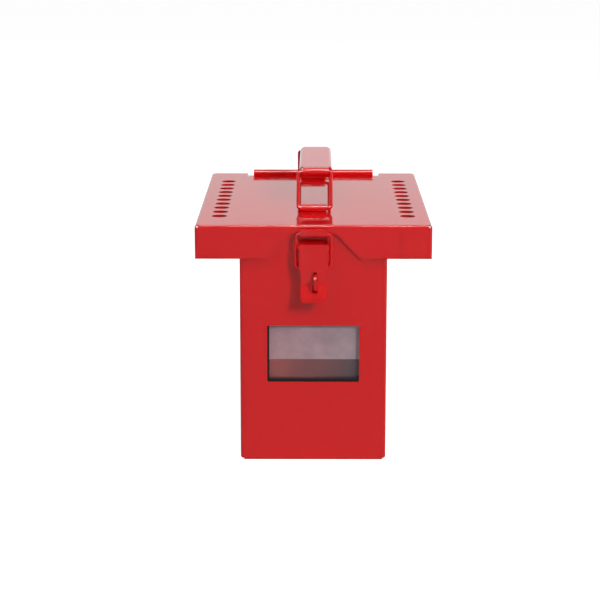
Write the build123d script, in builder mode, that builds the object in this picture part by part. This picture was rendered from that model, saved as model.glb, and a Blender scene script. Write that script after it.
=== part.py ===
from build123d import *
from math import cos, hypot, radians, sin
import os

os.makedirs("parts", exist_ok=True)

# All sizes are in millimetres. The origin is the centre of the box's underside,
# +Z is up, the latch and window face -Y and the hinge is at +Y.

# Folded steel sheet of the box and lid
sheet = 1.2
bend_r = 2.4
inner_bend_r = bend_r - sheet

# Box
body_width = 118.9
body_depth = 264.7
body_height = 194.9
corner_relief = 2.8
floor_flange = 14.0
rear_return = 12.0
floor_edge_r = 2.16
floor_tab_gap = 1.0

# Lid
lid_width = 190.0
lid_rear_overhang = 8.8
lid_gap = 0.4
skirt_height = 27.5
front_clearance = 1.3
rear_corner_r = 5.0
relief_width = 1.3
relief_depth = 2.4
lap_tab_reach = 24.6
lap_tab_top_gap = 2.4
lap_tab_bottom_gap = 1.0
cutout_bottom_half = 37.4
cutout_top_half = 18.4
cutout_height = 20.2
cutout_corner_r = 4.0
rear_notch_gap = 1.6
lid_edge_r = 1.9
lap_wrap_r = 2.16

# Padlock holes
hole_r = 6.25
hole_count = 10
hole_side_margin = 17.8
hole_front_margin = 42.1
hole_rear_margin = 51.2

# Lock rails under the lid
rail_edge_gap = 1.3
rail_leg = 18.0
rail_front_gap = 4.0
rail_rear_gap = 8.5

# Hinge
pin_r = 1.95
pin_clearance = 0.05
pin_recess = 3.0
pin_chamfer = 0.4
barrel_half = 55.5
centre_knuckle_half = 12.9
knuckle_gap = 0.5
seam_reach = 1.6

# Window
window_width = 74.6
window_height = 47.0
window_bottom = 66.4
window_corner_r = 1.2
gasket_width = 10.0
gasket_thickness = 3.3
gasket_inset = 0.8
pane_thickness = 3.0
pane_corner_r = 3.0

# Draw latch, measured down from the lid's top and out from its front skirt
keeper_sheet = 1.0
keeper_half = 11.3
keeper_inner_r = 2.6
keeper_drop = 9.8
keeper_leaf_drop = 2.0
keeper_lip_drop = 2.4
keeper_lip_corner_r = 2.0
wire_seat_gap = 0.35
wire_seat_shift = 0.2
lever_pivot_drop = 18.5
lever_pivot_out = 5.5
loop_pivot_drop = 33.5
loop_pivot_out = 6.0
loop_wire_r = 1.4
loop_leg_half = 14.1
loop_bend_r = 2.6
loop_end_half = 9.4
loop_hole_clearance = 0.1

# Lever
lever_sheet = 1.2
lever_half = 11.4
lever_front_out = 10.0
lever_rear_out = 2.5
lever_top_drop = 14.2
lever_wide_drop = 35.9
lever_corner_r = 2.2
tongue_half = 10.1
tongue_bend_drop = 47.0
lip_start_drop = 56.5
lip_end_drop = 60.1
lip_start_out = 14.2
lip_end_out = 14.9
tongue_bend_r = 9.0
lip_bend_r = 1.6
lip_corner_r = 3.2
lever_rear_r = 4.3
slot_left = -1.0
slot_right = 3.2
slot_top_drop = 36.5
slot_bottom_drop = 53.0
slot_corner_r = 0.8

# Latch base, its pin and its padlock staple
base_sheet = 1.5
base_half = 9.9
base_top_below_pivot = 1.0
base_bottom_drop = 65.4
base_nose_r = 6.0
base_straight_drop = 58.0
base_corner_r = 4.8
ear_r = 2.9
ear_foot = 12.0
ear_root = 0.2
lever_pin_r = 1.25
lever_pin_clearance = 0.06
pin_head_r = 2.3
pin_head_height = 0.7
pin_head_gap = 0.15
pin_head_edge_r = 0.42
staple_left = 0.4
staple_thickness = 2.4
staple_top_drop = 38.1
staple_bottom_drop = 50.6
staple_out = 19.0
staple_corner_r = 4.5
staple_hole_r = 3.4
staple_hole_out = 14.6

# Carrying handle
bracket_sheet = 0.8
bracket_bore_r = 2.6
bracket_half = 10.85
bracket_foot = 21.3
bracket_corner_r = 1.5
front_bracket_back = 60.0
rear_bracket_margin = 39.0
bail_lean = 26.5
weld_dimple_r = 2.2
weld_dimple_depth = 0.25
weld_dimple_slope = 30
bail_wire_r = 1.5
bail_leg_half = 13.6
bail_bend_r = 2.7
bail_end_gap = 2.0
bail_side_play = 1.0
grip_side_play = 1.0
grip_rise = 26.4
grip_sheet = 1.5
grip_bore_r = 2.6
grip_tube_half = 10.8
grip_plate_half = 13.8
grip_plate_setback = 3.5
grip_rim_drop = 3.4
grip_rim_r = 3.3

# Levels and faces shared by several pieces
half_width = body_width / 2
front_face = -body_depth / 2
back_face = body_depth / 2
wrap_back = back_face - sheet
lid_under = body_height + lid_gap
lid_top = lid_under + sheet
skirt_bottom = lid_top - skirt_height
lid_front = front_face - front_clearance - sheet
lid_back = back_face + lid_rear_overhang
lid_depth = lid_back - lid_front
lid_mid = (lid_front + lid_back) / 2
lid_half = lid_width / 2
hole_row_half = lid_half - hole_side_margin
window_mid = window_bottom + window_height / 2
holes_mid = (lid_front + hole_front_margin + lid_back - hole_rear_margin) / 2
hole_pitch = (lid_depth - hole_front_margin - hole_rear_margin) / (hole_count - 1)
knuckle_bore_r = pin_r + pin_clearance
knuckle_r = knuckle_bore_r + sheet
hinge_y = back_face - knuckle_r
hinge_z = lid_under + knuckle_r
notch_half = half_width + rear_notch_gap
notch_front = hinge_y - knuckle_r - knuckle_gap
lever_pivot_y = lid_front - lever_pivot_out
lever_pivot_z = lid_top - lever_pivot_drop
loop_pivot_y = lid_front - loop_pivot_out
loop_pivot_z = lid_top - loop_pivot_drop
seat_y = lid_front - keeper_sheet - keeper_inner_r
seat_z = lid_top - keeper_drop + keeper_sheet + keeper_inner_r
bar_y = seat_y + wire_seat_shift
bar_z = lid_top - keeper_drop + keeper_sheet + loop_wire_r + wire_seat_gap
base_front = front_face - base_sheet
bracket_r = bracket_bore_r + bracket_sheet
bracket_axis_z = lid_top + bracket_r
front_axis_y = lid_front + front_bracket_back
rear_axis_y = lid_back - rear_bracket_margin
grip_axis_z = bracket_axis_z + grip_rise
front_pivot_y = front_axis_y + bail_lean
rear_pivot_y = rear_axis_y - bail_lean
grip_r = grip_bore_r + grip_sheet
grip_top = grip_axis_z + grip_r
grip_x = bail_side_play + grip_side_play


def rolled_tube(y, z, outer_r, bore_r, seam_from, seam_to):
    """Ring in the YZ plane with an open seam between two angles in degrees."""
    with Locations((y, z)):
        Circle(outer_r)
        Circle(bore_r, mode=Mode.SUBTRACT)
    reach = seam_reach * outer_r
    corners = [(y, z)]
    for angle in (seam_from, (seam_from + seam_to) / 2, seam_to):
        corners.append((y + reach * cos(radians(angle)), z + reach * sin(radians(angle))))
    Polygon(*corners, align=None, mode=Mode.SUBTRACT)


def save(piece, name):
    piece.part.label = name
    export_step(piece.part, "parts/" + name + ".step")


# Box shell: one sheet folded into the front, both sides, the floor and its seams
with BuildPart() as body_shell:
    with BuildSketch(Plane.XY.offset(sheet)):
        with Locations((0, (front_face + wrap_back) / 2)):
            RectangleRounded(body_width, wrap_back - front_face, bend_r)
    extrude(amount=body_height - sheet)
    side_bottoms = body_shell.edges().filter_by(Axis.Y).group_by(Axis.Z)[0]
    fillet(side_bottoms, floor_edge_r)
    with BuildSketch(Plane.XY.offset(2 * sheet)):
        with Locations((0, (front_face + wrap_back) / 2)):
            inner_width = body_width - 2 * sheet
            RectangleRounded(inner_width, wrap_back - front_face - 2 * sheet, inner_bend_r)
    extrude(amount=body_height, mode=Mode.SUBTRACT)
    with BuildSketch(Plane.XY):
        with Locations((0, (front_face + wrap_back) / 2 + sheet)):
            Rectangle(body_width - 2 * floor_flange, wrap_back - front_face)
    extrude(amount=2 * sheet, mode=Mode.SUBTRACT)
    with BuildSketch(Plane.XZ.offset(-back_face)):
        with Locations((0, body_height / 2)):
            Rectangle(body_width - 2 * rear_return, body_height * 1.2)
    extrude(amount=4 * sheet, mode=Mode.SUBTRACT)
    with BuildSketch(Plane.YZ):
        with BuildLine():
            Polyline(
                (front_face, 3 * bend_r), (front_face, 0), (wrap_back, 0), (wrap_back, sheet),
                (front_face + sheet, sheet), (front_face + sheet, 3 * bend_r), close=True,
            )
        floor_face = make_face()
        fillet(floor_face.vertices().sort_by_distance((front_face, 0))[0], bend_r)
        inner_corner = floor_face.vertices().sort_by_distance((front_face + sheet, sheet))[0]
        fillet(inner_corner, inner_bend_r)
    extrude(amount=half_width - corner_relief, both=True)
    with BuildSketch(Plane.XZ.offset(-front_face + sheet)):
        with Locations((0, window_mid)):
            RectangleRounded(window_width, window_height, window_corner_r)
    extrude(amount=-4 * sheet, mode=Mode.SUBTRACT)
save(body_shell, "body_shell")

# Back panel, with the hinge's centre knuckle rolled from its top edge
panel_half = half_width - inner_bend_r
with BuildPart() as back_panel:
    with BuildSketch(Plane.XZ.offset(-back_face)):
        with Locations((0, (body_height - knuckle_gap) / 2)):
            Rectangle(2 * panel_half, body_height - knuckle_gap)
    extrude(amount=sheet)
    with BuildSketch(Plane.YZ):
        rolled_tube(hinge_y, hinge_z, knuckle_r, knuckle_bore_r, -45, -5)
        with Locations((back_face - sheet / 2, (body_height - bend_r + hinge_z) / 2)):
            Rectangle(sheet, hinge_z - body_height + bend_r)
    extrude(amount=centre_knuckle_half, both=True)
    with BuildSketch(Plane.XY.offset(sheet)):
        with Locations((0, wrap_back - rear_return / 2)):
            Rectangle(body_width - 2 * (floor_flange + floor_tab_gap), rear_return)
    extrude(amount=sheet)
save(back_panel, "back_panel")

# Lock rails: angles welded along the sides, with the row of padlock holes
rail_front = front_face + rail_front_gap
rail_rear = hinge_y - rail_rear_gap
rail_edge = lid_half - sheet - rail_edge_gap
for side, name in ((-1, "lock_rail_left"), (1, "lock_rail_right")):
    with BuildPart() as lock_rail:
        with BuildSketch(Plane.XZ.offset(-rail_front)):
            with BuildLine():
                Polyline(
                    (side * half_width, body_height), (side * rail_edge, body_height),
                    (side * rail_edge, body_height - sheet),
                    (side * (half_width + sheet), body_height - sheet),
                    (side * (half_width + sheet), body_height - rail_leg),
                    (side * half_width, body_height - rail_leg), close=True,
                )
            angle_face = make_face()
            bend_corner = (side * half_width, body_height)
            fillet(angle_face.vertices().sort_by_distance(bend_corner)[0], sheet)
        extrude(amount=rail_front - rail_rear)
        outer_edge = lock_rail.edges().filter_by(Axis.Z)
        far_corners = outer_edge.filter_by(lambda e: abs(abs(e.center().X) - rail_edge) < 0.01)
        fillet(far_corners, rear_corner_r)
        with BuildSketch(Plane.XY.offset(body_height + sheet)):
            with Locations((side * hole_row_half, holes_mid)):
                with GridLocations(0, hole_pitch, 1, hole_count):
                    Circle(hole_r)
        extrude(amount=-4 * sheet, mode=Mode.SUBTRACT)
    save(lock_rail, name)

# Hinge pin, hidden a little inside the barrel's open ends
with BuildPart() as hinge_pin:
    with BuildSketch(Plane.YZ):
        with Locations((hinge_y, hinge_z)):
            Circle(pin_r)
    extrude(amount=barrel_half - pin_recess, both=True)
    chamfer(hinge_pin.edges().filter_by(GeomType.CIRCLE), pin_chamfer)
save(hinge_pin, "hinge_pin")

# Window seal, a foam frame stuck behind the opening, and the clear pane on it
seal_front = front_face + sheet
pane_front = seal_front + gasket_thickness
pane_width = window_width + 2 * gasket_width
pane_height = window_height + 2 * gasket_width
with BuildPart() as window_seal:
    with BuildSketch(Plane.XZ.offset(-seal_front)):
        with Locations((0, window_mid)):
            RectangleRounded(pane_width, pane_height, pane_corner_r)
            RectangleRounded(
                window_width + 2 * gasket_inset, window_height + 2 * gasket_inset,
                window_corner_r + gasket_inset, mode=Mode.SUBTRACT,
            )
    extrude(amount=-gasket_thickness)
save(window_seal, "window_seal")

with BuildPart() as window_pane:
    with BuildSketch(Plane.XZ.offset(-pane_front)):
        with Locations((0, window_mid)):
            RectangleRounded(pane_width, pane_height, pane_corner_r)
    extrude(amount=-pane_thickness)
save(window_pane, "window_pane")

# Lid: a folded tray upside down, with lap tabs, a latch cut-out and rolled knuckles
with BuildPart() as lid:
    with BuildSketch(Plane.XY.offset(skirt_bottom)):
        with Locations((0, lid_mid)):
            lid_outline = Rectangle(lid_width, lid_depth)
        fillet(lid_outline.vertices().group_by(Axis.Y)[-1], rear_corner_r)
    extrude(amount=skirt_height)
    fillet(lid.faces().sort_by(Axis.Z)[-1].edges(), lid_edge_r)
    with BuildSketch(Plane.XY.offset(skirt_bottom)):
        with Locations((0, lid_mid)):
            cavity = Rectangle(lid_width - 2 * sheet, lid_depth - 2 * sheet)
        fillet(cavity.vertices().group_by(Axis.Y)[-1], rear_corner_r - sheet)
    extrude(amount=skirt_height - sheet, mode=Mode.SUBTRACT)
    # Side skirts wrap round the front corners as lap tabs over the front skirt
    with BuildSketch(Plane.XY.offset(skirt_bottom + lap_tab_bottom_gap)):
        with Locations((0, lid_front)):
            wrap = Rectangle(lid_width, 2 * sheet)
        fillet(wrap.vertices().group_by(Axis.Y)[0], lap_wrap_r)
        with Locations((0, lid_front)):
            Rectangle(2 * (lid_half - lap_tab_reach), 4 * sheet, mode=Mode.SUBTRACT)
        with Locations((0, lid_front + sheet)):
            Rectangle(lid_width - 2 * sheet, 2 * sheet, mode=Mode.SUBTRACT)
    extrude(amount=skirt_height - lap_tab_top_gap - lap_tab_bottom_gap)
    tab_edges = lid.edges().filter_by(Axis.Y)
    tab_corners = tab_edges.filter_by(
        lambda e: abs(abs(e.center().X) - lid_half + lap_tab_reach) < 0.01 and e.center().Y < lid_front
    )
    fillet(tab_corners, bend_r)
    # Cut-out in the front skirt that leaves room for the latch
    with BuildSketch(Plane.XZ.offset(-lid_front + sheet)):
        with BuildLine():
            Polyline(
                (-cutout_bottom_half, skirt_bottom), (-cutout_top_half, skirt_bottom + cutout_height),
                (cutout_top_half, skirt_bottom + cutout_height), (cutout_bottom_half, skirt_bottom),
                close=True,
            )
        trapezoid = make_face()
        fillet(trapezoid.vertices().group_by(Axis.Y)[-1], cutout_corner_r)
    extrude(amount=-4 * sheet, mode=Mode.SUBTRACT)
    # Padlock holes
    with BuildSketch(Plane.XY.offset(lid_top + sheet)):
        with Locations((0, holes_mid)):
            with GridLocations(2 * hole_row_half, hole_pitch, 2, hole_count):
                Circle(hole_r)
    extrude(amount=-4 * sheet, mode=Mode.SUBTRACT)
    # Corner reliefs where the front and side bends meet
    with BuildSketch(Plane.XY.offset(lid_top + sheet)):
        with Locations((0, lid_front + relief_depth / 2)):
            with GridLocations(lid_width - 2 * sheet - relief_width, 0, 2, 1):
                Rectangle(relief_width, relief_depth)
    extrude(amount=-sheet - relief_depth, mode=Mode.SUBTRACT)
    # Notch in the rear edge, open down to the skirt's bottom
    with BuildSketch(Plane.XY.offset(lid_top + sheet)):
        with Locations((0, (notch_front + lid_back + sheet) / 2)):
            Rectangle(2 * notch_half, lid_back + sheet - notch_front)
    extrude(amount=-skirt_height - 2 * sheet, mode=Mode.SUBTRACT)
    # Outer hinge knuckles, rolled up from the rear edge
    for side in (-1, 1):
        knuckle_start = side * (centre_knuckle_half + knuckle_gap)
        with BuildSketch(Plane.YZ.offset(knuckle_start)):
            rolled_tube(hinge_y, hinge_z, knuckle_r, knuckle_bore_r, 222, 262)
            with Locations(((notch_front + hinge_y) / 2 - sheet / 2, lid_under + sheet / 2)):
                Rectangle(hinge_y - notch_front + sheet, sheet)
        extrude(amount=side * (barrel_half - centre_knuckle_half - knuckle_gap))
save(lid, "lid")

# Keeper: the hooked strike on the lid that the wire loop pulls on
with BuildPart() as latch_keeper:
    with BuildSketch(Plane.YZ):
        with Locations((seat_y, seat_z)):
            Circle(keeper_inner_r + keeper_sheet)
            Circle(keeper_inner_r, mode=Mode.SUBTRACT)
        with Locations((seat_y, seat_z + keeper_inner_r)):
            Rectangle(4 * keeper_inner_r, 2 * keeper_inner_r, mode=Mode.SUBTRACT)
        leaf_height = lid_top - keeper_leaf_drop - seat_z
        with Locations((lid_front - keeper_sheet / 2, seat_z + leaf_height / 2)):
            Rectangle(keeper_sheet, leaf_height)
        lip_height = lid_top - keeper_lip_drop - seat_z
        with Locations((seat_y - keeper_inner_r - keeper_sheet / 2, seat_z + lip_height / 2)):
            Rectangle(keeper_sheet, lip_height)
    extrude(amount=keeper_half, both=True)
    cross_edges = latch_keeper.edges().filter_by(Axis.Y)
    lip_edges = cross_edges.filter_by(lambda e: e.center().Y < seat_y).group_by(Axis.Z)[-1]
    fillet(lip_edges, keeper_lip_corner_r)
save(latch_keeper, "latch_keeper")

# Latch base: a plate on the box front with two ears that carry the lever's pin
base_top = lever_pivot_z - base_top_below_pivot
base_straight = lid_top - base_straight_drop
with BuildPart() as latch_base:
    with BuildSketch(Plane.XZ.offset(-front_face)):
        with BuildLine():
            Polyline(
                (-base_half, base_top), (-base_half, base_straight),
                (-base_nose_r, lid_top - base_bottom_drop), (base_nose_r, lid_top - base_bottom_drop),
                (base_half, base_straight), (base_half, base_top), close=True,
            )
        base_outline = make_face()
        fillet(base_outline.vertices().group_by(Axis.Y)[0], base_corner_r)
    extrude(amount=base_sheet)
    for side in (-1, 1):
        with BuildSketch(Plane.YZ.offset(side * base_half)):
            with Locations((lever_pivot_y, lever_pivot_z)):
                Circle(ear_r)
            with Locations((base_front, base_top - ear_foot / 2)):
                Rectangle(ear_root, ear_foot)
            make_hull()
            with Locations((lever_pivot_y, lever_pivot_z)):
                Circle(lever_pin_r + lever_pin_clearance, mode=Mode.SUBTRACT)
        extrude(amount=-side * base_sheet)
save(latch_base, "latch_base")

# Staple: a plate with a padlock hole that stands out through the lever's slot
with BuildPart() as latch_staple:
    with BuildSketch(Plane.YZ.offset(staple_left)):
        with BuildLine():
            Polyline(
                (base_front, lid_top - staple_top_drop),
                (lid_front - staple_out, lid_top - staple_top_drop),
                (lid_front - staple_out, lid_top - staple_bottom_drop),
                (base_front, lid_top - staple_bottom_drop), close=True,
            )
        staple_face = make_face()
        fillet(staple_face.vertices().group_by(Axis.X)[0], staple_corner_r)
        with Locations((lid_front - staple_hole_out, lid_top - (staple_top_drop + staple_bottom_drop) / 2)):
            Circle(staple_hole_r, mode=Mode.SUBTRACT)
    extrude(amount=staple_thickness)
save(latch_staple, "latch_staple")

# Lever pin, headed at both ends outside the lever's sides
pin_half = lever_half + pin_head_gap
with BuildPart() as lever_pin:
    with BuildSketch(Plane.YZ):
        with Locations((lever_pivot_y, lever_pivot_z)):
            Circle(lever_pin_r)
    extrude(amount=pin_half, both=True)
    for side in (-1, 1):
        with BuildSketch(Plane.YZ.offset(side * pin_half)):
            with Locations((lever_pivot_y, lever_pivot_z)):
                Circle(pin_head_r)
        extrude(amount=side * pin_head_height)
    rims = lever_pin.edges().filter_by(GeomType.CIRCLE).group_by(Axis.X)
    fillet(rims[0] + rims[-1], pin_head_edge_r)
save(lever_pin, "lever_pin")

# Lever: a channel round the pin that narrows to a curled finger tongue
lever_front = lid_front - lever_front_out
lever_rear = lid_front - lever_rear_out
lever_top = lid_top - lever_top_drop
wide_bottom = lid_top - lever_wide_drop
side_r = lever_pivot_y - lever_front
with BuildPart() as latch_lever:
    with BuildSketch(Plane.YZ):
        with BuildLine():
            outer_line = FilletPolyline(
                (lever_front + lever_sheet / 2, lever_top),
                (lever_front + lever_sheet / 2, lid_top - tongue_bend_drop),
                (lid_front - lip_start_out, lid_top - lip_start_drop),
                (lid_front - lip_end_out, lid_top - lip_end_drop),
                radius=(tongue_bend_r, lip_bend_r),
            )
            offset(outer_line, lever_sheet / 2, kind=Kind.INTERSECTION, side=Side.BOTH)
        make_face()
    extrude(amount=tongue_half, both=True)
    with BuildSketch(Plane.XZ.offset(-lever_front)):
        with Locations((0, (lever_top + wide_bottom) / 2)):
            Rectangle(2 * lever_half, lever_top - wide_bottom)
    extrude(amount=-lever_sheet)
    for side in (-1, 1):
        with BuildSketch(Plane.YZ.offset(side * lever_half)):
            with BuildLine():
                Polyline(
                    (lever_front, lever_top), (lever_front, wide_bottom),
                    (lever_rear, wide_bottom), (lever_rear, lever_top), close=True,
                )
            side_face = make_face()
            rear_top = side_face.vertices().sort_by_distance((lever_rear, lever_top))[0]
            fillet(rear_top, lever_rear_r)
            rear_low = side_face.vertices().sort_by_distance((lever_rear, wide_bottom))[0]
            fillet(rear_low, lever_corner_r)
            with Locations((lever_pivot_y, lever_pivot_z)):
                Circle(lever_pin_r + 2 * lever_pin_clearance, mode=Mode.SUBTRACT)
            with Locations((loop_pivot_y, loop_pivot_z)):
                Circle(loop_wire_r + loop_hole_clearance, mode=Mode.SUBTRACT)
        extrude(amount=-side * lever_sheet)
    # The top edge is bowed and its corners are rounded
    with BuildSketch(Plane.XZ.offset(-lever_front + lever_sheet)):
        with Locations((0, lever_top)):
            Rectangle(4 * lever_half, 2 * lever_corner_r)
        with Locations((0, lever_top - lever_half)):
            RectangleRounded(2 * lever_half, 2 * lever_half, lever_corner_r, mode=Mode.SUBTRACT)
    extrude(amount=-3 * lever_sheet, mode=Mode.SUBTRACT)
    # The lip's corners are rounded
    lip_bottom = lid_top - lip_end_drop
    with BuildSketch(Plane.XZ.offset(-lever_front + 3 * lever_corner_r)):
        with Locations((0, lip_bottom)):
            Rectangle(4 * tongue_half, 2 * lip_corner_r)
        with Locations((0, lip_bottom + tongue_half)):
            RectangleRounded(2 * tongue_half, 2 * tongue_half, lip_corner_r, mode=Mode.SUBTRACT)
    extrude(amount=-6 * lever_corner_r, mode=Mode.SUBTRACT)
    # Slot for the staple
    slot_height = slot_bottom_drop - slot_top_drop
    with BuildSketch(Plane.XZ.offset(-lever_front + 3 * lever_corner_r)):
        with Locations(((slot_left + slot_right) / 2, lid_top - slot_top_drop - slot_height / 2)):
            RectangleRounded(slot_right - slot_left, slot_height, slot_corner_r)
    extrude(amount=-6 * lever_corner_r, mode=Mode.SUBTRACT)
save(latch_lever, "latch_lever")

# Wire loop: its ends turn into the lever's sides and its bar lies in the keeper
loop_length = hypot(bar_y - loop_pivot_y, bar_z - loop_pivot_z)
loop_up = Vector(0, bar_y - loop_pivot_y, bar_z - loop_pivot_z).normalized()
loop_plane = Plane(
    origin=(0, loop_pivot_y, loop_pivot_z), x_dir=(1, 0, 0), z_dir=Vector(1, 0, 0).cross(loop_up)
)
with BuildPart() as latch_loop:
    with BuildLine(loop_plane):
        loop_wire = FilletPolyline(
            (loop_end_half, 0), (loop_leg_half, 0), (loop_leg_half, loop_length),
            (-loop_leg_half, loop_length), (-loop_leg_half, 0), (-loop_end_half, 0),
            radius=loop_bend_r,
        )
    with BuildSketch(Plane(origin=loop_wire @ 0, z_dir=loop_wire % 0)):
        Circle(loop_wire_r)
    sweep()
save(latch_loop, "latch_loop")

# Handle brackets: feet welded to the lid, rolled into tubes for the bails
for axis_y, name in ((front_axis_y, "front_bracket"), (rear_axis_y, "rear_bracket")):
    with BuildPart() as bracket:
        with BuildSketch(Plane.YZ):
            rolled_tube(axis_y, bracket_axis_z, bracket_r, bracket_bore_r, 222, 262)
            with Locations((axis_y - bracket_foot / 2, lid_top + bracket_sheet / 2)):
                Rectangle(bracket_foot, bracket_sheet)
        extrude(amount=bracket_half, both=True)
        foot_front = bracket.edges().filter_by(Axis.Z).group_by(Axis.Y)[0]
        fillet(foot_front, bracket_corner_r)
        with BuildSketch(Plane.XY.offset(lid_top + bracket_sheet)):
            with Locations((0, axis_y - bracket_foot / 2 - bracket_r / 2)):
                Circle(weld_dimple_r)
        extrude(amount=-weld_dimple_depth, taper=weld_dimple_slope, mode=Mode.SUBTRACT)
    save(bracket, name)


def bail(foot_y, head_y, name):
    """Wire bail from a bracket tube up to a grip tube, its ends meeting in the grip."""
    length = hypot(head_y - foot_y, grip_rise)
    up = Vector(0, head_y - foot_y, grip_rise).normalized()
    plane = Plane(
        origin=(bail_side_play, foot_y, bracket_axis_z), x_dir=(1, 0, 0),
        z_dir=Vector(1, 0, 0).cross(up),
    )
    with BuildPart() as wire_bail:
        with BuildLine(plane):
            wire = FilletPolyline(
                (bail_end_gap / 2, length), (bail_leg_half, length), (bail_leg_half, 0),
                (-bail_leg_half, 0), (-bail_leg_half, length), (-bail_end_gap / 2, length),
                radius=bail_bend_r,
            )
        with BuildSketch(Plane(origin=wire @ 0, z_dir=wire % 0)):
            Circle(bail_wire_r)
        sweep()
    save(wire_bail, name)


bail(front_axis_y, front_pivot_y, "front_bail")
bail(rear_axis_y, rear_pivot_y, "rear_bail")

# Grip: a strap with each end rolled under into a tube round its bail
with BuildPart() as grip:
    with BuildSketch(Plane.YZ.offset(grip_x)):
        rolled_tube(front_pivot_y, grip_axis_z, grip_r, grip_bore_r, 10, 50)
        rolled_tube(rear_pivot_y, grip_axis_z, grip_r, grip_bore_r, 130, 170)
        with Locations(((front_pivot_y + rear_pivot_y) / 2, grip_top - grip_sheet / 2)):
            Rectangle(rear_pivot_y - front_pivot_y, grip_sheet)
    extrude(amount=grip_tube_half, both=True)
    # The strap's long rims are bent down
    plate_front = front_pivot_y + grip_plate_setback
    plate_rear = rear_pivot_y - grip_plate_setback
    with BuildSketch(Plane.XZ.offset(-plate_front)):
        with Locations((grip_x, grip_top - grip_rim_drop / 2)):
            crown = Rectangle(2 * grip_plate_half, grip_rim_drop)
        fillet(crown.vertices().group_by(Axis.Y)[-1], grip_rim_r)
        with Locations((grip_x, grip_top - grip_sheet - grip_rim_drop)):
            RectangleRounded(
                2 * (grip_plate_half - grip_sheet), 2 * grip_rim_drop, grip_rim_r - grip_sheet,
                mode=Mode.SUBTRACT,
            )
    extrude(amount=plate_front - plate_rear)
save(grip, "grip")
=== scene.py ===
import bpy
import math
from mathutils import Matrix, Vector


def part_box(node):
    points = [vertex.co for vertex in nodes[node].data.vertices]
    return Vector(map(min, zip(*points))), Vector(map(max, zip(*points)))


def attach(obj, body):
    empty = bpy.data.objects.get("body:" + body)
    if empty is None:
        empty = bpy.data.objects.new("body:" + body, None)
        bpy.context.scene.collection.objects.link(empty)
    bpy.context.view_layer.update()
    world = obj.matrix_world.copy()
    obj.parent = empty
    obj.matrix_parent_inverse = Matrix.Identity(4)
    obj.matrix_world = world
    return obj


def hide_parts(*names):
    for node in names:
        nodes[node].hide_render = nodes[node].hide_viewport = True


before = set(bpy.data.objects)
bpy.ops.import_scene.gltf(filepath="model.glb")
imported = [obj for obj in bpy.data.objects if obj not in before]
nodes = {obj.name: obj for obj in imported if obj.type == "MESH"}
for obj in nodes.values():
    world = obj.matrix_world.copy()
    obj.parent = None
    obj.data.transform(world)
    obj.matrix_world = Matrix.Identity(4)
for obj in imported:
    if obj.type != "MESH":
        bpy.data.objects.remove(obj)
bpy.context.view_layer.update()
scene = bpy.context.scene
scene.view_settings.view_transform = "Standard"

# Camera of the photograph: metres, degrees and pixels of its 600 x 600 frame
CAMERA_PLACE = (-0.001434, -1.62114, 0.46482)
CAMERA_DOWN = 12.501
CAMERA_LEFT = 0.358
FOCAL_PIXELS = 1890.0
IMAGE_PIXELS = 600.0
SENSOR_MM = 36.0
CAMERA_NEAR = 0.05
CAMERA_FAR = 60.0

camera_data = bpy.data.cameras.new("camera")
camera_data.sensor_width = SENSOR_MM
camera_data.lens = SENSOR_MM * FOCAL_PIXELS / IMAGE_PIXELS
camera_data.clip_start = CAMERA_NEAR
camera_data.clip_end = CAMERA_FAR
camera = bpy.data.objects.new("camera", camera_data)
camera.location = CAMERA_PLACE
camera.rotation_euler = (math.radians(90.0 - CAMERA_DOWN), 0.0, math.radians(CAMERA_LEFT))
scene.collection.objects.link(camera)
scene.camera = camera

# Places of the colour sockets on a Mix node
MIX_FACTOR = 0
MIX_FIRST = 6
MIX_SECOND = 7
MIX_RESULT = 2

# Most values of a noise lie between these two
NOISE_LOW = 0.3
NOISE_HIGH = 0.7


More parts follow.
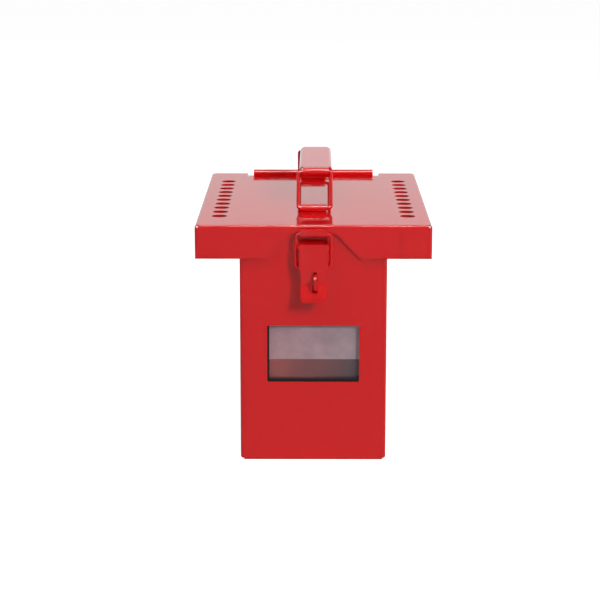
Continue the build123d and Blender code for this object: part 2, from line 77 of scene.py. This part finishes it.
class Shader:
    """A material's node tree with short ways to add and join nodes."""

    def __init__(self, name):
        self.material = bpy.data.materials.new(name)
        self.material.use_nodes = True
        self.tree = self.material.node_tree
        self.tree.nodes.clear()
        self.output = self.tree.nodes.new("ShaderNodeOutputMaterial")
        self.bsdf = self.tree.nodes.new("ShaderNodeBsdfPrincipled")
        self.link(self.bsdf.outputs[0], self.output.inputs[0])
        coordinates = self.tree.nodes.new("ShaderNodeTexCoord")
        self.place = coordinates.outputs["Object"]

    def set(self, **values):
        for key, value in values.items():
            self.bsdf.inputs[key.replace("_", " ")].default_value = value

    def link(self, source, target):
        self.tree.links.new(source, target)

    def drive(self, source, socket):
        self.link(source, self.bsdf.inputs[socket])

    def noise(self, scale, detail=2.0):
        node = self.tree.nodes.new("ShaderNodeTexNoise")
        node.inputs["Scale"].default_value = scale
        node.inputs["Detail"].default_value = detail
        self.link(self.place, node.inputs["Vector"])
        return node.outputs["Fac"]

    def axis(self, letter):
        node = self.tree.nodes.new("ShaderNodeSeparateXYZ")
        self.link(self.place, node.inputs[0])
        return node.outputs[letter]

    def spread(self, source, low, high, out_low, out_high):
        """Source with low to high stretched to out_low to out_high, and clamped."""
        node = self.tree.nodes.new("ShaderNodeMapRange")
        node.inputs["From Min"].default_value = low
        node.inputs["From Max"].default_value = high
        node.inputs["To Min"].default_value = out_low
        node.inputs["To Max"].default_value = out_high
        self.link(source, node.inputs["Value"])
        return node.outputs["Result"]

    def mix(self, factor, first, second):
        """Colour between two fixed colours."""
        node = self.tree.nodes.new("ShaderNodeMix")
        node.data_type = "RGBA"
        node.inputs[MIX_FIRST].default_value = (*first, 1.0)
        node.inputs[MIX_SECOND].default_value = (*second, 1.0)
        self.link(factor, node.inputs[MIX_FACTOR])
        return node.outputs[MIX_RESULT]

    def blend(self, factor, first, second):
        """Colour between two colours that other nodes give."""
        node = self.tree.nodes.new("ShaderNodeMix")
        node.data_type = "RGBA"
        self.link(first, node.inputs[MIX_FIRST])
        self.link(second, node.inputs[MIX_SECOND])
        self.link(factor, node.inputs[MIX_FACTOR])
        return node.outputs[MIX_RESULT]

    def multiply(self, first, second):
        node = self.tree.nodes.new("ShaderNodeMix")
        node.data_type = "RGBA"
        node.blend_type = "MULTIPLY"
        node.inputs[MIX_FACTOR].default_value = 1.0
        self.link(first, node.inputs[MIX_FIRST])
        self.link(second, node.inputs[MIX_SECOND])
        return node.outputs[MIX_RESULT]

    def bump(self, height, distance):
        node = self.tree.nodes.new("ShaderNodeBump")
        node.inputs["Distance"].default_value = distance
        self.link(height, node.inputs["Height"])
        self.drive(node.outputs[0], "Normal")


# Red powder coat: two close tones, its gloss and its orange peel
COAT_IOR = 1.27
COAT_TONES = ((0.62, 0.0040, 0.0060), (0.59, 0.0035, 0.0050))
COAT_TONE_SCALE = 9.0
COAT_GLOSS_SCALE = 60.0
COAT_GLOSS_SPREAD = 0.02
COAT_PEEL_SCALE = 420.0


def powder_coat(name, roughness, peel):
    """Glossy red powder coat with a faint orange peel, peel metres high."""
    coat = Shader(name)
    coat.set(IOR=COAT_IOR)
    coat.drive(coat.mix(coat.noise(COAT_TONE_SCALE), *COAT_TONES), "Base Color")
    glossiest = roughness - COAT_GLOSS_SPREAD
    dullest = roughness + COAT_GLOSS_SPREAD
    patches = coat.noise(COAT_GLOSS_SCALE)
    coat.drive(coat.spread(patches, NOISE_LOW, NOISE_HIGH, glossiest, dullest), "Roughness")
    coat.bump(coat.noise(COAT_PEEL_SCALE, 1.0), peel)
    return coat.material


red = powder_coat("red_powder_coat", 0.055, 0.000002)
red_smooth = powder_coat("red_powder_coat_smooth", 0.06, 0.000001)

# Plain steel of the hinge pin
STEEL_TONES = ((0.36, 0.34, 0.32), (0.28, 0.26, 0.25))
STEEL_TONE_SCALE = 150.0
STEEL_GLOSS_SCALE = 300.0
STEEL_ROUGHNESS = (0.3, 0.45)
steel = Shader("pin_steel")
steel.set(Metallic=1.0)
steel.drive(steel.mix(steel.noise(STEEL_TONE_SCALE), *STEEL_TONES), "Base Color")
steel.drive(
    steel.spread(steel.noise(STEEL_GLOSS_SCALE), NOISE_LOW, NOISE_HIGH, *STEEL_ROUGHNESS),
    "Roughness",
)

# Dark matt foam of the window's seal
FOAM_TONES = ((0.005, 0.003, 0.003), (0.010, 0.005, 0.005))
FOAM_TONE_SCALE = 900.0
FOAM_PORE_SCALE = 1500.0
FOAM_PORE_DEPTH = 0.0002
foam = Shader("seal_foam")
foam.set(Roughness=0.9, Specular_IOR_Level=0.1)
foam.drive(foam.mix(foam.noise(FOAM_TONE_SCALE), *FOAM_TONES), "Base Color")
foam.bump(foam.noise(FOAM_PORE_SCALE), FOAM_PORE_DEPTH)

# Clear pane, lighter and less see-through in its upper part; its colour paints the light and
# shade of the box's inside, a lit red inner wall towards the left and shade towards the right
# Height above which the pane is lighter and less see-through
PANE_UPPER_EDGE = 0.0843
PANE_UPPER_EDGE_BLUR = 0.0003
WINDOW_HALF = 0.0373
# Painted light and shade, left to right in each pair: bright red where a lamp from the right
# lights the box's inner wall, dark in the shade at the right
LOWER_PAINTED_LIGHT_TINTS = ((0.60, 0.135, 0.13), (0.11, 0.095, 0.11))
UPPER_PAINTED_LIGHT_TINTS = ((0.62, 0.36, 0.39), (0.52, 0.39, 0.43))
DUST_SHADES = ((0.80, 0.80, 0.82), (1.0, 1.0, 1.0))
DUST_SCALE = 75.0
DUST_DETAIL = 4.0
DUST_LOW = 0.35
DUST_HIGH = 0.65
PANE_LOWER_UPPER_ALPHAS = (0.42, 0.60)
PANE_ROUGHNESS = (0.05, 0.10)
pane = Shader("clear_pane")
pane.set(IOR=1.49)
upper_part = pane.spread(
    pane.axis("Z"), PANE_UPPER_EDGE - PANE_UPPER_EDGE_BLUR, PANE_UPPER_EDGE + PANE_UPPER_EDGE_BLUR, 0.0, 1.0
)
across = pane.spread(pane.axis("X"), -WINDOW_HALF, WINDOW_HALF, 0.0, 1.0)
dust = pane.spread(pane.noise(DUST_SCALE, DUST_DETAIL), DUST_LOW, DUST_HIGH, 0.0, 1.0)
# Painted light and shade of the box's inside, lower tints below the edge and upper tints above it
painted_light_tint = pane.blend(upper_part, pane.mix(across, *LOWER_PAINTED_LIGHT_TINTS), pane.mix(across, *UPPER_PAINTED_LIGHT_TINTS))
pane.drive(pane.multiply(painted_light_tint, pane.mix(dust, *DUST_SHADES)), "Base Color")
pane.drive(pane.spread(upper_part, 0.0, 1.0, *PANE_LOWER_UPPER_ALPHAS), "Alpha")
pane.drive(pane.spread(dust, 0.0, 1.0, *PANE_ROUGHNESS), "Roughness")

LOOKS = {
    "window_pane": pane.material,
    "window_seal": foam.material,
    "hinge_pin": steel.material,
}
SMOOTH_COATED = ("latch_loop", "front_bail", "rear_bail", "latch_keeper", "lever_pin")
for name in SMOOTH_COATED:
    LOOKS[name] = red_smooth
for name, node in nodes.items():
    node.data.materials.clear()
    node.data.materials.append(LOOKS.get(name, red))

# Opening of the foam seal: left, right, bottom and top, a little off the window's centre
SEAL_OPENING = (-0.0358, 0.0376, 0.0687, 0.1142)


def seal_frame():
    """Foam seal stuck on slightly off centre, so it shows at the left and below."""
    low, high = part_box("window_seal")
    outline = (low[0], high[0], low[2], high[2])
    rings = []
    for y in (low[1], high[1]):
        for left, right, bottom, top in (outline, SEAL_OPENING):
            rings.append([(left, y, bottom), (right, y, bottom), (right, y, top), (left, y, top)])
    points = [point for ring in rings for point in ring]
    # Each ring starts at its number of the points' list
    front_out, front_in, back_out, back_in = 0, 4, 8, 12
    faces = []
    for k in range(4):
        n = (k + 1) % 4
        faces.append((front_out + k, front_out + n, front_in + n, front_in + k))
        faces.append((back_out + n, back_out + k, back_in + k, back_in + n))
        faces.append((front_out + k, back_out + k, back_out + n, front_out + n))
        faces.append((front_in + n, back_in + n, back_in + k, front_in + k))
    mesh = bpy.data.meshes.new("seal_frame")
    mesh.from_pydata(points, [], faces)
    mesh.materials.append(foam.material)
    seal = bpy.data.objects.new("seal_frame", mesh)
    scene.collection.objects.link(seal)
    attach(seal, "box")
    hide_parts("window_seal")


seal_frame()


def studio_white(tree, dark, light):
    """Value that is light for camera, glossy and transmission rays and dark for the rest."""
    path = tree.nodes.new("ShaderNodeLightPath")
    seen = path.outputs["Is Camera Ray"]
    for other in ("Is Glossy Ray", "Is Transmission Ray"):
        most = tree.nodes.new("ShaderNodeMath")
        most.operation = "MAXIMUM"
        tree.links.new(seen, most.inputs[0])
        tree.links.new(path.outputs[other], most.inputs[1])
        seen = most.outputs[0]
    level = tree.nodes.new("ShaderNodeMapRange")
    level.inputs["To Min"].default_value = dark
    level.inputs["To Max"].default_value = light
    tree.links.new(seen, level.inputs["Value"])
    return level.outputs[0]


# Floor: pale grey that shows as white, apart from the box's soft shadow
FLOOR_HALF = 6.0
FLOOR_DROP = 0.0002
FLOOR_GLOW = 0.88
FLOOR_TONES = ((0.60, 0.60, 0.60), (0.61, 0.61, 0.61))
FLOOR_TONE_SCALE = 3.0
WHITE = (1.0, 1.0, 1.0, 1.0)
floor_look = Shader("studio_floor")
floor_look.set(Roughness=0.9, Specular_IOR_Level=0.0, Emission_Color=WHITE)
floor_look.drive(floor_look.mix(floor_look.noise(FLOOR_TONE_SCALE), *FLOOR_TONES), "Base Color")
floor_look.drive(studio_white(floor_look.tree, 0.0, FLOOR_GLOW), "Emission Strength")
floor_corners = [
    (x * FLOOR_HALF, y * FLOOR_HALF, -FLOOR_DROP) for x, y in ((-1, -1), (1, -1), (1, 1), (-1, 1))
]
floor_mesh = bpy.data.meshes.new("floor")
floor_mesh.from_pydata(floor_corners, [], [(0, 1, 2, 3)])
floor_mesh.materials.append(floor_look.material)
floor = bpy.data.objects.new("floor", floor_mesh)
scene.collection.objects.link(floor)

# World: shows as white, and lights the object with ROOM_LIGHT only
ROOM_LIGHT = 0.16
world = bpy.data.worlds.new("studio")
scene.world = world
world.use_nodes = True
tree = world.node_tree
tree.nodes.clear()
out = tree.nodes.new("ShaderNodeOutputWorld")
back = tree.nodes.new("ShaderNodeBackground")
back.inputs["Color"].default_value = WHITE
tree.links.new(studio_white(tree, ROOM_LIGHT, 1.0), back.inputs["Strength"])
tree.links.new(back.outputs[0], out.inputs[0])

# Lamps: name, place in metres, width and height in metres, power in watts or brightness
BOX_MIDDLE = (0.0, 0.0, 0.11)
SOFTBOXES = (
    ("key", (1.15, -2.0, 1.3), 0.45, 0.60, 34.0),
    ("overhead_strip", (0.0, -0.55, 1.6), 2.4, 0.07, 14.5),
    ("fill", (-1.9, -1.8, 1.0), 1.2, 1.2, 1.5),
)
GLEAMS = (
    ("gleam_front", (0.0, -1.0, 1.8), 2.6, 0.30, 90.0),
    ("gleam_back", (0.0, 1.1, 1.5), 2.6, 0.8, 4.0),
    ("gleam_right", (1.9, -0.9, 0.35), 0.35, 1.2, 14.0),
)


def softbox(name, place, width, height, power):
    """A rectangular lamp at place that faces the middle of the box."""
    data = bpy.data.lights.new(name, "AREA")
    data.shape = "RECTANGLE"
    data.size = width
    data.size_y = height
    data.energy = power
    lamp = bpy.data.objects.new(name, data)
    lamp.location = place
    towards = Vector(BOX_MIDDLE) - Vector(place)
    lamp.rotation_euler = towards.to_track_quat("-Z", "Y").to_euler()
    scene.collection.objects.link(lamp)
    return lamp


for name, place, width, height, power in SOFTBOXES:
    softbox(name, place, width, height, power)

# A gleam only shows as a highlight on glossy edges
for name, place, width, height, brightness in GLEAMS:
    gleam = softbox(name, place, width, height, brightness * math.pi * width * height)
    gleam.visible_diffuse = False
